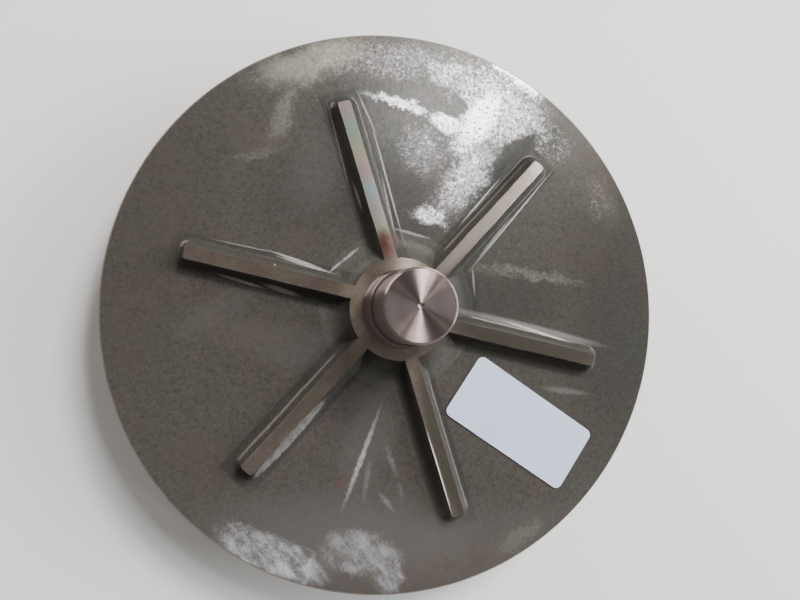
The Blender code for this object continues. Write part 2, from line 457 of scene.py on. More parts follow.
def cut_into_lengths(item, start, end, count):
    """Cut a long piece across, so that it can bend or waver along its length."""
    start_edit(item)
    for number in range(1, count):
        bpy.ops.mesh.select_all(action="SELECT")
        where = start + (end - start) * number / count
        bpy.ops.mesh.bisect(plane_co=(where, 0.0, 0.0), plane_no=(1.0, 0.0, 0.0))
    end_edit()


def copy_round(item, count, first):
    """Turn the piece to the first direction and copy it round the axis, each copy with its own mesh."""
    copies = []
    for number in range(count):
        alone(item)
        bpy.ops.object.duplicate(linked=False)
        copy = bpy.context.object
        copy.rotation_euler = (0.0, 0.0, first + math.tau * number / count)
        settle(copy)
        copies.append(copy)
    bpy.data.objects.remove(item, do_unlink=True)
    return copies


def join_solid(item, others):
    """Unite other closed shapes with the piece, and remove them."""
    for other in others:
        apply_modifier(item, "BOOLEAN", operation="UNION", solver="EXACT", object=other)
        bpy.data.objects.remove(other, do_unlink=True)


def casting():
    item = bpy.data.objects.get("cast_impeller")
    if item is None:
        raise RuntimeError("model the turned body first")
    return item


class IMPELLER_OT_turned_body(bpy.types.Operator):
    """Model the disc, hub, collar, stub and closed nose as one turned shape"""

    bl_idname = "impeller.turned_body"
    bl_label = "Turned body"

    segments = 192

    def execute(self, context):
        size = context.scene.impeller_casting
        chamfer = 0.6 * MM
        rim = (size.disc_radius, size.disc_face - chamfer)
        bpy.ops.object.select_all(action="DESELECT")
        bpy.ops.mesh.primitive_circle_add(
            vertices=self.segments, radius=rim[0], fill_type="NOTHING", location=(0.0, 0.0, rim[1]))
        item = named("cast_impeller")
        settle(item)
        start_edit(item, "EDGE")
        bpy.ops.mesh.select_all(action="SELECT")
        run_profile(rim, self.upper_side(size, chamfer))
        pick(item, "edges", lambda edge: edge.is_boundary)
        run_profile(rim, self.under_side(size, chamfer))
        bpy.ops.mesh.select_all(action="SELECT")
        bpy.ops.mesh.normals_make_consistent(inside=False)
        end_edit()
        return {"FINISHED"}

    def upper_side(self, size, chamfer):
        collar_chamfer = 0.4 * MM
        root = 0.8 * MM
        stub_chamfer = 0.8 * MM
        mark_radius = 1.1 * MM
        mark_depth = 0.9 * MM
        stations = [(size.disc_radius - chamfer, size.disc_face)]
        stations.append((size.hub_foot, size.disc_face))
        hub_centre = (size.hub_foot, size.disc_face + size.hub_fillet)
        rib_top_angle = math.pi + math.asin((hub_centre[1] - size.rib_top) / size.hub_fillet)
        stations += arc(hub_centre, size.hub_fillet, math.pi * 1.5, rib_top_angle, 10)
        root_centre = (size.collar_radius + root, size.rib_top + root)
        stations.append((root_centre[0], size.rib_top))
        stations += arc(root_centre, root, math.pi * 1.5, math.pi, 4)
        stations.append((size.collar_radius, size.collar_top - collar_chamfer))
        stations.append((size.collar_radius - collar_chamfer, size.collar_top))
        stations.append((size.stub_radius, size.collar_top))
        stations.append((size.stub_radius, size.stub_end - stub_chamfer))
        stations.append((size.stub_radius - stub_chamfer, size.stub_end))
        stations.append((mark_radius, size.stub_end))
        stations.append((0.0, size.stub_end - mark_depth))
        return stations

    def under_side(self, size, chamfer):
        clearance = 3.0 * MM
        steps = 20
        stations = [(size.disc_radius, size.disc_back + chamfer)]
        stations.append((size.disc_radius - chamfer, size.disc_back))
        depth = size.disc_back - clearance
        for step in range(steps + 1):
            angle = math.pi / 2 * step / steps
            radius = size.nose_end + (size.nose_root - size.nose_end) * (1.0 - math.sin(angle))
            stations.append((radius, size.disc_back - depth * (1.0 - math.cos(angle))))
        stations.append((size.nose_end * 0.85, clearance - 0.45 * MM))
        stations.append((size.nose_end * 0.6, clearance - 0.8 * MM))
        stations.append((size.nose_end * 0.3, clearance - 1.05 * MM))
        stations.append((0.0, clearance - 1.2 * MM))
        return stations


class IMPELLER_OT_ribs(bpy.types.Operator):
    """Model one low rib, copy it round and unite the ribs with the body"""

    bl_idname = "impeller.ribs"
    bl_label = "Low ribs"

    def execute(self, context):
        size = context.scene.impeller_casting
        under_ring = 0.02 * MM
        height = size.rib_top - size.disc_face - under_ring
        edge_break = 0.22 * MM
        root = 14.8 * MM
        section = rib_section(height - edge_break, size.rib_draft, size.rib_fillet, 6)
        spread = sum(inset for inset, lift in section) + edge_break
        inner = root - spread
        outer = size.rib_reach + spread
        width = size.rib_width + 2.0 * spread
        bpy.ops.object.select_all(action="DESELECT")
        bpy.ops.mesh.primitive_plane_add(
            size=1.0, location=((inner + outer) / 2, 0.0, size.disc_face - OVERLAP))
        item = named("rib")
        item.scale = (outer - inner, width, 1.0)
        settle(item)
        start_edit(item, "VERT")
        pick(item, "verts", lambda vertex: vertex.co.x > inner + OVERLAP)
        bpy.ops.mesh.bevel(offset=spread + 1.0 * MM, segments=8, affect="VERTICES")
        bpy.ops.mesh.select_mode(type="FACE")
        bpy.ops.mesh.select_all(action="SELECT")
        bpy.ops.mesh.extrude_region_move(TRANSFORM_OT_translate={"value": (0.0, 0.0, OVERLAP - FEATHER)})
        for inset, lift in section:
            bpy.ops.mesh.inset(thickness=inset, depth=lift)
        end_edit()
        cut_into_lengths(item, inner, outer, 30)
        self.waver(item)
        start_edit(item)
        top = max(vertex.co.z for vertex in item.data.vertices)
        pick(item, "faces", lambda face: face.calc_center_median().z > top - FEATHER / 2)
        bpy.ops.mesh.inset(thickness=edge_break, depth=edge_break)
        bpy.ops.mesh.select_all(action="SELECT")
        bpy.ops.mesh.normals_make_consistent(inside=False)
        bpy.ops.transform.translate(value=(0.0, -size.rib_set_over, 0.0))
        end_edit()
        join_solid(casting(), copy_round(item, size.rib_count, size.first_rib))
        return {"FINISHED"}

    def waver(self, item):
        """Move the sides in and out a little, as a cast rib's sides are never quite straight."""
        clouds = bpy.data.textures.new("rib_waver", "CLOUDS")
        clouds.noise_scale = 9.0 * MM
        apply_modifier(item, "DISPLACE", texture=clouds, texture_coords="LOCAL",
                       direction="Y", strength=0.35 * MM, mid_level=0.5)


class IMPELLER_OT_working_vanes(bpy.types.Operator):
    """Model one curved working vane, copy it round and unite the vanes with the body"""

    bl_idname = "impeller.working_vanes"
    bl_label = "Working vanes"

    def execute(self, context):
        size = context.scene.impeller_casting
        edge_break = 0.4 * MM
        section = rib_section(size.disc_back - edge_break, size.vane_draft, size.vane_fillet, 5)
        spread = sum(inset for inset, lift in section) + edge_break
        half = size.vane_thickness / 2 + spread
        overrun = 6.0 * MM
        end_radius = size.disc_radius + overrun
        length = (end_radius - size.vane_inlet) / math.sin(size.vane_angle)
        bpy.ops.object.select_all(action="DESELECT")
        bpy.ops.mesh.primitive_plane_add(
            size=1.0, location=((length - half) / 2, 0.0, size.disc_back + OVERLAP),
            rotation=(math.pi, 0.0, 0.0))
        item = named("working_vane")
        item.scale = (length + half, 2.0 * half, 1.0)
        settle(item)
        start_edit(item, "VERT")
        pick(item, "verts", lambda vertex: vertex.co.x < 0.0)
        bpy.ops.mesh.bevel(offset=spread + 1.6 * MM, segments=8, affect="VERTICES")
        bpy.ops.mesh.select_mode(type="FACE")
        bpy.ops.mesh.select_all(action="SELECT")
        bpy.ops.mesh.extrude_region_move(TRANSFORM_OT_translate={"value": (0.0, 0.0, FEATHER - OVERLAP)})
        for inset, lift in section + [(edge_break, edge_break)]:
            bpy.ops.mesh.inset(thickness=inset, depth=lift)
        bpy.ops.mesh.select_all(action="SELECT")
        bpy.ops.mesh.normals_make_consistent(inside=False)
        end_edit()
        cut_into_lengths(item, -half, length, 48)
        self.bend(item, size, end_radius)
        self.trim(item, size)
        join_solid(casting(), copy_round(item, size.vane_count, size.first_vane))
        return {"FINISHED"}

    def bend(self, item, size, end_radius):
        """Lay the straight vane along its spiral."""
        steps = 60
        path = bpy.data.curves.new("vane_line", "CURVE")
        path.dimensions = "2D"
        spline = path.splines.new("POLY")
        spline.points.add(steps)
        growth = math.log(end_radius / size.vane_inlet)
        for step, point in enumerate(spline.points):
            radius = size.vane_inlet * math.exp(growth * step / steps)
            turn = math.log(radius / size.vane_inlet) / math.tan(size.vane_angle)
            point.co = (radius * math.cos(turn), radius * math.sin(turn), 0.0, 1.0)
        line = bpy.data.objects.new("vane_line", path)
        bpy.context.scene.collection.objects.link(line)
        apply_modifier(item, "CURVE", object=line, deform_axis="POS_X")
        bpy.data.objects.remove(line, do_unlink=True)

    def trim(self, item, size):
        """Turn the vane's outer end to the disc's diameter."""
        allowance = 0.1 * MM
        bpy.ops.object.select_all(action="DESELECT")
        bpy.ops.mesh.primitive_cylinder_add(
            vertices=IMPELLER_OT_turned_body.segments, radius=size.disc_radius - allowance,
            depth=size.stub_end * 2.0)
        cutter = named("trim")
        apply_modifier(item, "BOOLEAN", operation="INTERSECT", solver="EXACT", object=cutter)
        bpy.data.objects.remove(cutter, do_unlink=True)


class IMPELLER_OT_casting_finish(bpy.types.Operator):
    """Shade the casting, give each surface its finish and put it in the CAD casting's place"""

    bl_idname = "impeller.casting_finish"
    bl_label = "Casting finish"

    def execute(self, context):
        size = context.scene.impeller_casting
        colours = context.scene.impeller_colours
        item = casting()
        start_edit(item, "VERT")
        bpy.ops.mesh.select_all(action="SELECT")
        bpy.ops.mesh.remove_doubles(threshold=0.01 * MM)
        end_edit()
        for make in (cast_skin, turned_face, turned_stub, turned_rim):
            item.data.materials.append(make(size, colours))
        self.assign(item, 1, lambda face: abs(face.normal.z) > 0.99
                    and (abs(self.middle(face).z - size.rib_top) < 0.05 * MM or self.middle(face).z < 0.05 * MM))
        self.assign(item, 2, lambda face: self.middle(face).z > size.rib_top + 0.02 * MM
                    and self.middle(face).xy.length < size.collar_radius + 1.0 * MM)
        self.assign(item, 3, lambda face: self.middle(face).xy.length > size.disc_radius - 0.7 * MM
                    and abs(face.normal.z) < 0.95)
        alone(item)
        bpy.ops.object.shade_smooth_by_angle(angle=math.radians(32.0))
        apply_modifier(item, "WEIGHTED_NORMAL", keep_sharp=True, weight=80)
        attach(item, "root")
        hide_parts("impeller_casting")
        return {"FINISHED"}

    def middle(self, face):
        return face.calc_center_median()

    def assign(self, item, slot, test):
        """Give the faces that pass the test one of the piece's finishes."""
        start_edit(item)
        pick(item, "faces", test)
        item.active_material_index = slot
        bpy.ops.object.material_slot_assign()
        end_edit()


class IMPELLER_OT_label(bpy.types.Operator):
    """Model the blank paper label that is stuck on the disc"""

    bl_idname = "impeller.label"
    bl_label = "Blank label"

    def execute(self, context):
        size = context.scene.impeller_label
        colours = context.scene.impeller_colours
        centre = (LABEL_LOW + LABEL_HIGH) / 2
        thickness = 0.12 * MM
        bpy.ops.object.select_all(action="DESELECT")
        bpy.ops.mesh.primitive_plane_add(size=1.0)
        item = named("paper_label")
        item.scale = (size.width, size.height, 1.0)
        settle(item)
        start_edit(item, "VERT")
        bpy.ops.mesh.select_all(action="SELECT")
        bpy.ops.mesh.bevel(offset=size.corner, segments=8, affect="VERTICES")
        self.cut_grid(size)
        end_edit()
        item.rotation_euler = (0.0, 0.0, size.turn)
        item.location = (centre.x, centre.y, LABEL_LOW.z + thickness / 2)
        settle(item)
        clouds = bpy.data.textures.new("paper_waver", "CLOUDS")
        clouds.noise_scale = 16.0 * MM
        apply_modifier(item, "DISPLACE", texture=clouds, texture_coords="LOCAL",
                       direction="Z", strength=0.3 * MM, mid_level=0.35)
        apply_modifier(item, "SOLIDIFY", thickness=thickness, offset=0.0)
        item.data.materials.append(label_paper(size, colours, centre))
        alone(item)
        bpy.ops.object.shade_smooth_by_angle(angle=math.radians(35.0))
        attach(item, "root")
        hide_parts("stock_label")
        return {"FINISHED"}

    def cut_grid(self, size):
        """Cut the sheet both ways, so that it can lie a little unevenly."""
        cells = 24
        for number in range(1, cells):
            share = number / cells - 0.5
            for place, normal in (((size.width * share, 0.0, 0.0), (1.0, 0.0, 0.0)),
                                  ((0.0, size.height * share, 0.0), (0.0, 1.0, 0.0))):
                bpy.ops.mesh.select_all(action="SELECT")
                bpy.ops.mesh.bisect(plane_co=place, plane_no=normal)


# Marks on the disc face, read off the photograph in millimetres from the axis. Each has its
# middle, its half length and half width, the direction of its length in degrees and its strength.
# Worn places where bright rough metal shows: real wear, with strengths graded to the highlight's core and
# falloff, so a painted highlight as well.
WORN_SKIN_AND_HIGHLIGHT = (
    ((33.0, 76.0), (17.0, 7.5), 55.0, 1.0),
    ((49.0, 95.0), (15.0, 3.2), -36.0, 0.95),
    ((42.0, 81.0), (26.0, 17.0), -35.0, 0.64),
    ((28.0, 53.0), (20.0, 8.5), 55.0, 0.66),
    ((22.0, 94.0), (14.0, 7.0), -15.0, 0.56),
    ((12.0, 38.0), (8.5, 4.0), -15.0, 0.85),
    ((1.0, 80.5), (14.0, 2.4), -16.0, 0.80),
    ((20.0, 75.0), (8.0, 5.0), -20.0, 0.90),
    ((10.0, 63.0), (12.0, 12.0), 0.0, 0.41),
    ((2.0, 98.0), (30.0, 8.0), 3.0, 0.40),
    ((66.0, 70.0), (14.0, 8.0), -48.0, 0.30),
    ((80.0, 50.0), (14.0, 8.0), -60.0, 0.14),
)
YELLOW_SKIN = (
    ((-34.0, 95.0), (24.0, 8.0), 22.0, 0.50),
    ((-44.0, 75.0), (14.0, 4.0), 70.0, 0.34),
    ((-54.0, 58.0), (10.0, 2.4), 15.0, 0.26),
    ((54.0, 14.5), (24.0, 2.2), -8.0, 0.33),
    ((48.0, -90.0), (12.0, 4.0), 30.0, 0.40),
    ((86.0, 46.0), (12.0, 7.0), -65.0, 0.24),
)
DARK_PATCHES = (
    ((7.0, 84.5), (16.0, 2.6), -15.0, 0.75),
    ((24.0, 83.0), (3.5, 4.0), 0.0, 0.7),
    ((3.5, 47.0), (6.0, 8.5), 20.0, 1.0),
    ((-3.0, 57.0), (4.0, 9.0), 15.0, 1.0),
    ((48.0, 62.0), (13.0, 5.0), 50.0, 1.0),
)
# Painted shade: ovals where the disc is drawn darker, beside the upper ribs, on the hub fillet and towards the
# far right.
PAINTED_SHADE_SPOTS = (
    ((94.0, 0.0), (22.0, 60.0), 0.0, 0.45),
    ((46.0, 59.0), (18.0, 5.0), 47.0, 0.95),
    ((60.0, 71.0), (9.0, 7.0), 45.0, 0.95),
    ((50.0, 5.0), (22.0, 12.0), 0.0, 0.38),
    ((26.0, 4.0), (8.0, 13.0), 0.0, 0.80),
    ((-35.0, 42.0), (22.0, 18.0), 0.0, 0.30),
    ((2.0, 48.0), (10.0, 18.0), 20.0, 0.35),
    ((-90.0, 30.0), (22.0, 50.0), -15.0, 0.20),
)
SCUFFS = (
    ((-47.0, -90.0), (19.0, 6.5), -27.0, 1.0),
    ((-14.0, -92.0), (15.0, 7.5), -20.0, 0.60),
    ((-4.0, -100.0), (6.0, 6.0), 0.0, 0.70),
)
DUSTY = (
    ((-10.0, -88.0), (55.0, 17.0), -6.0, 0.8),
    ((35.0, -93.0), (30.0, 10.0), 20.0, 0.5),
    ((-42.0, -14.0), (22.0, 8.0), -15.0, 0.40),
    ((-68.0, -2.0), (14.0, 5.0), 30.0, 0.30),
    ((-12.0, -50.0), (22.0, 8.0), 76.0, 0.45),
    ((-30.0, 55.0), (16.0, 9.0), 60.0, 0.25),
)
PALE_STROKES = (
    ((-14.0, -56.0), (13.0, 0.75), 69.0, 0.9),
    ((-12.0, -64.0), (6.0, 0.8), 80.0, 0.18),
    ((-2.5, -58.0), (5.0, 0.9), -70.0, 0.20),
    ((-4.5, -73.0), (3.5, 0.8), -50.0, 0.25),
    ((1.0, -69.0), (3.0, 0.8), -75.0, 0.14),
)
# Painted highlights: glint lines where the fillets at the rib feet, a few flanks and the hub foot catch the
# lamps.
GLINTS = (
    ((33.5, 43.5), (9.9, 0.35), 49.0, 0.8),
    ((47.0, 36.8), (22.0, 0.35), 49.6, 0.65),
    ((39.0, 28.5), (9.5, 0.5), 51.0, 0.3),
    ((-12.5, 76.5), (7.5, 0.35), -65.0, 0.4),
    ((-4.5, 50.5), (21.0, 0.35), -74.5, 0.55),
    ((-4.0, 41.0), (9.3, 0.4), -77.0, 0.4),
    ((-23.5, 63.0), (13.5, 0.3), -75.0, 0.3),
    ((-16.0, 43.0), (5.0, 0.4), -72.0, 0.35),
    ((-57.5, 23.0), (11.0, 0.25), -11.0, 0.3),
    ((-38.0, 18.0), (9.5, 0.5), -18.5, 0.7),
    ((-36.5, 16.8), (8.9, 0.4), -16.0, 0.6),
    ((-24.0, 16.3), (2.9, 0.45), 41.0, 0.55),
    ((-19.0, 20.5), (4.1, 0.5), 40.0, 0.5),
    ((-59.0, 10.0), (7.5, 0.5), -16.0, 0.45),
    ((-44.5, 7.0), (6.0, 0.8), -17.0, 0.5),
    ((55.5, -8.0), (13.5, 0.6), -17.0, 0.9),
    ((54.0, -7.0), (27.0, 1.5), -12.9, 0.30),
    ((30.5, 11.5), (5.0, 0.4), -85.0, 0.3),
    ((5.5, 29.7), (6.5, 0.5), -14.0, 0.4),
    ((69.0, -32.5), (9.0, 1.2), -8.0, 0.12),
    ((-47.0, 16.0), (0.4, 0.4), 0.0, 0.6),
)
# A bright band on one rib's flank: ground metal with streaks, and a painted highlight where the flank faces a
# lamp.
GROUND_WALL_AND_HIGHLIGHT = (
    ((-40.9, -47.7), (18.5, 1.9), 47.3, 0.28),
)
RED_SPOTS = (
    ((-22.0, -65.0), (2.5, 1.5), 0.0, 0.5),
    ((-1.0, 27.0), (3.0, 2.0), 0.0, 0.5),
)
# Painted light: the left of the hub ring, in the stub's shadow, is drawn paler.
PAINTED_LIGHT_RING = (
    ((-17.0, 0.0), (6.0, 14.0), 0.0, 0.9),
)
# Painted highlight: a bright line along one rib top's edge.
EDGE_HIGHLIGHTS = (
    ((14.6, -61.4), (14.0, 0.35), -72.9, 0.9),
)
RED_ON_RING = (
    ((-5.8, 24.5), (2.6, 5.0), 17.0, 0.75),
    ((1.0, 20.6), (5.5, 0.9), -4.0, 0.55),
)
BROWN_STAINS = (
    ((-95.0, 20.0), (55.0, 16.0), 85.0, 0.5),
    ((-77.0, -50.0), (22.0, 10.0), -42.0, 0.6),
    ((-57.0, 64.0), (6.0, 4.0), 0.0, 0.7),
    ((-38.0, 25.0), (5.5, 4.0), 0.0, 0.6),
    ((-10.0, -103.0), (30.0, 3.5), -4.0, 0.9),
    ((-3.0, -94.0), (3.0, 3.0), 0.0, 0.8),
    ((20.0, -98.0), (20.0, 5.0), 10.0, 0.7),
    ((75.0, 25.0), (16.0, 8.0), 0.0, 0.35),
)
MARK_DEPTH = 1000.0


def rib_place(finish, size, place):
    """Distance along and across the nearest rib, in millimetres, and distance from the axis."""
    x = finish.part(place, "X")
    y = finish.part(place, "Y")
    radius = (x * x + y * y) ** 0.5
    pitch = math.tau / size.rib_count
    angle = y.maths("ARCTAN2", y, x) + (pitch / 2 - size.first_rib)
    turn = angle.maths("FLOORED_MODULO", angle, pitch) - pitch / 2
    along = radius * turn.maths("COSINE", turn)
    across = radius * turn.maths("SINE", turn) + size.rib_set_over / MM
    return along, across, radius


def cast_skin(size, colours):
    """Dark satin skin of cast stainless steel, worn off to bright rough metal in places, whose grading is a
    painted highlight as well; painted shade and painted glints are drawn on it too.
    """
    skin = Finish("cast_skin")
    place = skin.place()
    along, across, radius = rib_place(skin, size, place)
    foot = across.maths("ABSOLUTE", across).falls(7.4, 8.2) * along.falls(86.0, 88.0)
    smooth = foot.over(radius.falls(28.5, 31.0))
    wall = skin.part(place, "Z").rises(size.disc_face / MM + 1.0, size.disc_face / MM + 3.5)

    upper = skin.part(place, "Z").rises(size.disc_back / MM + 2.0, size.disc_back / MM + 4.0)

    clouds = skin.noise(place, 26.0, 4.0, 0.6)
    patches = skin.noise(place, 8.0, 5.0, 0.6)
    grain = skin.noise(place, 0.8, 3.0, 0.7)
    dots = skin.noise(place, 1.7, 4.0, 0.65)

    edge = skin.ragged(skin.ragged(place, 9.0, 9.0), 1.5, 4.0)
    # Worn places: real wear, graded as a painted highlight too.
    worn = skin.marks(edge, WORN_SKIN_AND_HIGHLIGHT, 0.65) * upper * (1.0 - skin.marks(edge, DARK_PATCHES)) * (1.0 - smooth)
    yellow = skin.marks(edge, YELLOW_SKIN, 0.65) * upper * (1.0 - smooth)
    scuff = skin.marks(edge, SCUFFS) * upper
    fine_edge = skin.ragged(place, 2.0, 1.2)
    stroke = skin.marks(fine_edge, PALE_STROKES, 0.9) * upper * (grain.rises(0.3, 0.6) * 0.6 + 0.4)
    red = skin.marks(fine_edge, RED_SPOTS, 0.5) * upper * dots.rises(0.35, 0.6)
    brown = skin.marks(edge, BROWN_STAINS, 0.5) * upper

    wipe = skin.node("ShaderNodeMapping", {"vector_type": "TEXTURE"},
                     {"Vector": place, "Rotation": (0.0, 0.0, math.radians(-52.0)), "Scale": (3.5, 1.0, 1.0)})
    wiped = skin.noise(wipe, 3.2, 4.0, 0.6)

    glint = skin.marks(skin.ragged(place, 1.5, 0.5), GLINTS, 0.5) * upper
    glint = glint.over(skin.marks(fine_edge, GROUND_WALL_AND_HIGHLIGHT, 0.12) * (wiped.rises(0.3, 0.6) * 0.6 + 0.5))

    stain = (clouds * 0.8 + patches * 0.2).rises(0.38, 0.62)
    colour = skin.mix(stain, colours.cast_grey, colours.cast_brown)
    colour = skin.mix(dots.rises(0.42, 0.70) * 0.45, colour, (0.030, 0.027, 0.024))
    colour = skin.mix(grain.rises(0.45, 0.80) * 0.45, colour, (0.120, 0.115, 0.108))
    # Painted shade: the skin is darkened in the painted shade ovals and along the feet of the ribs, where the
    # fillets reflect little light.
    shade = (skin.marks(edge, PAINTED_SHADE_SPOTS, 0.7) * upper).over(foot * 0.45)
    colour = skin.mix(shade, colour, (0.028, 0.027, 0.023))
    speck = dots * 0.55 + grain * 0.45 - 0.5
    pits = skin.noise(place, 1.1, 2.0, 0.5).rises(0.56, 0.66)
    # Bare metal where the skin is worn, graded so that it also paints the highlight's bright core and speckled
    # falloff.
    bare = (worn + speck * 1.8).rises(0.0, 1.1) ** 2.0 * worn.rises(0.0, 0.1) * (1.0 - pits * 0.85)
    colour = skin.mix(bare, colour, colours.bare)
    yellowed = (yellow + speck * 0.6).rises(0.0, 1.1) ** 1.5 * yellow.rises(0.0, 0.15)
    colour = skin.mix(yellowed, colour, colours.yellow_bare)
    colour = skin.mix(skin.marks(edge, DUSTY, 0.6) * upper, colour, colours.dust)
    colour = skin.mix(brown * patches.rises(0.35, 0.65) * 0.75, colour, colours.stain)
    rubbed = scuff * ((wiped * 0.6 + patches * 0.6 + grain * 0.3).rises(0.62, 0.92) * 0.95 + 0.15)
    colour = skin.mix(rubbed.over(stroke), colour, colours.scuff)
    colour = skin.mix(red, colour, colours.red_paint)
    # Painted light: every rib flank is tinted a lighter brown, standing in for light that the lamps don't bring
    # to the flanks.
    colour = skin.mix(wall * 0.25, colour, (0.100, 0.084, 0.074))
    # Painted highlights: the glint lines and the bright band on one rib flank are laid in as a light colour,
    # rougher and less metallic.
    colour = skin.mix(glint, colour, colours.glint)

    fillet = radius.falls(29.0, 31.0) * 0.30
    rough = grain * 0.08 + 0.20 + fillet + worn.over(yellow) * 0.12 + rubbed.over(stroke).over(glint) * 0.25
    metallic = bare.over(yellowed) * 0.65 + 0.2 - rubbed.over(stroke).over(glint) * 0.15
    normal = skin.bump(patches, 0.10 * MM)
    normal = skin.bump(grain * (worn * 2.0 + 0.4), 0.035 * MM, 1.0, normal)
    return skin.dress(Base_Color=colour, Metallic=metallic, Roughness=rough, Specular_IOR_Level=0.12,
                      Normal=normal)


# Temper tints along the top of one rib, by hundredths of a metre from the axis
RAINBOW_RIB = math.radians(107.1)
RAINBOW = (
    (0.20, (0.22, 0.11, 0.10)), (0.30, (0.30, 0.21, 0.17)), (0.36, (0.50, 0.52, 0.38)),
    (0.43, (0.56, 0.48, 0.49)), (0.50, (0.48, 0.62, 0.60)), (0.56, (0.68, 0.46, 0.48)),
    (0.62, (0.66, 0.58, 0.46)), (0.68, (0.58, 0.62, 0.44)), (0.75, (0.50, 0.62, 0.53)),
    (0.82, (0.72, 0.56, 0.56)),
)
# Painted highlight: the top of the rib nearest the lamps is drawn lighter and pinker.
TOP_HIGHLIGHTS = (
    ((41.0, 42.0), (39.0, 3.6), 47.1, 0.60),
    ((54.5, 57.5), (4.0, 4.0), 47.1, 1.0),
)
# Painted shade: the tops of three ribs that catch less light are drawn darker.
PAINTED_SHADE_TOPS = (
    ((17.0, -52.0), (33.0, 5.0), -73.0, 0.75),
    ((52.0, -13.0), (33.0, 5.0), -13.0, 0.85),
    ((-28.0, -27.0), (26.0, 4.0), 47.0, 0.45),
)


def turned_face(size, colours):
    """Faced rib tops and hub ring: brown pink steel with fine concentric tool marks, with a painted highlight on
    one rib top and one rib edge, painted shade on three rib tops and painted light on the left of the hub ring.
    """
    face = Finish("turned_face")
    place = face.place()
    x = face.part(place, "X")
    y = face.part(place, "Y")
    radius = (x * x + y * y) ** 0.5
    ring_place = face.node("ShaderNodeCombineXYZ", {}, {"X": radius})
    rings = face.noise(ring_place, 0.5, 3.0, 0.6)
    clouds = face.noise(place, 9.0, 4.0, 0.6)
    grain = face.noise(place, 1.1, 3.0, 0.7)
    colour = face.mix(clouds.rises(0.4, 0.65) * 0.6, colours.turned, (0.33, 0.30, 0.22))
    colour = face.mix(grain.rises(0.40, 0.65) * 0.4, colour, (0.16, 0.125, 0.115))
    run = x * math.cos(RAINBOW_RIB) + y * math.sin(RAINBOW_RIB)
    side = y * math.cos(RAINBOW_RIB) - x * math.sin(RAINBOW_RIB) + size.rib_set_over / MM
    rainbow = side.maths("ABSOLUTE", side).falls(3.0, 4.0) * run.rises(18.0, 22.0)
    tints = face.node("ShaderNodeValToRGB", {"stops": RAINBOW}, {"Fac": (run + clouds * 6.0 + grain * 7.0 - 3.5) / 100.0})
    colour = face.mix(rainbow * 0.85, colour, tints)
    # Painted highlight on the rib top nearest the lamps.
    top_highlight = face.marks(face.ragged(place, 3.0, 1.0), TOP_HIGHLIGHTS, 0.3)
    colour = face.mix(top_highlight, colour, colours.top_highlight)
    # Painted highlight along one rib top's edge, drawn light, rougher and less metallic.
    edge = face.marks(face.ragged(place, 2.0, 0.3), EDGE_HIGHLIGHTS, 0.5)
    # Painted light on the shadowed left of the hub ring.
    pale = face.marks(face.ragged(place, 4.0, 2.0), PAINTED_LIGHT_RING, 0.4)
    colour = face.mix(pale, colour, (0.52, 0.44, 0.36))
    # Painted shade on three rib tops.
    top_shade = face.marks(face.ragged(place, 4.0, 2.0), PAINTED_SHADE_TOPS, 0.3)
    colour = face.mix(top_shade, colour, (0.140, 0.125, 0.100))
    colour = face.mix(edge, colour, (0.62, 0.59, 0.53))
    red = face.marks(face.ragged(place, 2.0, 1.5), RED_ON_RING, 0.5) * clouds.rises(0.3, 0.5)
    colour = face.mix(red, colour, colours.red_paint)
    blots = face.noise(place, 2.5, 3.0, 0.6).rises(0.5, 0.7) * 0.30
    colour = face.mix(blots * radius.falls(20.0, 24.0), colour, (0.14, 0.12, 0.10))
    normal = face.bump(rings, 0.004 * MM)
    return face.dress(Base_Color=colour, Metallic=0.9 - edge * 0.6, Roughness=rings * 0.08 + 0.16 + edge * 0.3,
                      Anisotropic=0.8, Anisotropic_Rotation=0.25 - FAN_TURN, Normal=normal)


def turned_stub(size, colours):
    """Turned stub and collar: bright steel whose tool marks catch the light in fans."""
    stub = Finish("turned_stub")
    place = stub.place()
    x = stub.part(place, "X")
    y = stub.part(place, "Y")
    z = stub.part(place, "Z")
    radius = (x * x + y * y) ** 0.5
    ring_place = stub.node("ShaderNodeCombineXYZ", {}, {"X": radius, "Y": z})
    rings = stub.noise(ring_place, 1.1, 3.0, 0.6)
    side = z.falls(size.stub_end / MM - 0.9, size.stub_end / MM - 0.1)
    return stub.dress(Base_Color=(*colours.stub, 1.0), Metallic=1.0, Roughness=rings * 0.10 + 0.20 + side * 0.12,
                      Anisotropic=1.0, Anisotropic_Rotation=0.25 - FAN_TURN)


def turned_rim(size, colours):
    """Turned rim edge: duller steel with fine rings."""
    rim = Finish("turned_rim")
    place = rim.place()
    rings = rim.noise(rim.node("ShaderNodeCombineXYZ", {}, {"X": rim.part(place, "Z")}), 0.4, 3.0, 0.6)
    clouds = rim.noise(place, 7.0, 4.0, 0.6)
    colour = rim.mix(clouds, colours.turned, colours.cast_brown)
    return rim.dress(Base_Color=colour, Metallic=0.9, Roughness=rings * 0.2 + 0.3,
                     Normal=rim.bump(rings, 0.02 * MM))


def label_paper(size, colours, centre):
    """Coated white paper with faint mottling."""
    paper = Finish("label_paper")
    place = paper.place()
    fibres = paper.noise(place, 0.6, 3.0, 0.6)
    clouds = paper.noise(place, 12.0, 3.0, 0.5)
    colour = paper.mix(clouds * 0.12, colours.paper, (0.50, 0.53, 0.64))
    return paper.dress(Base_Color=colour, Roughness=fibres * 0.1 + 0.42,
                       Normal=paper.bump(fibres, 0.01 * MM))


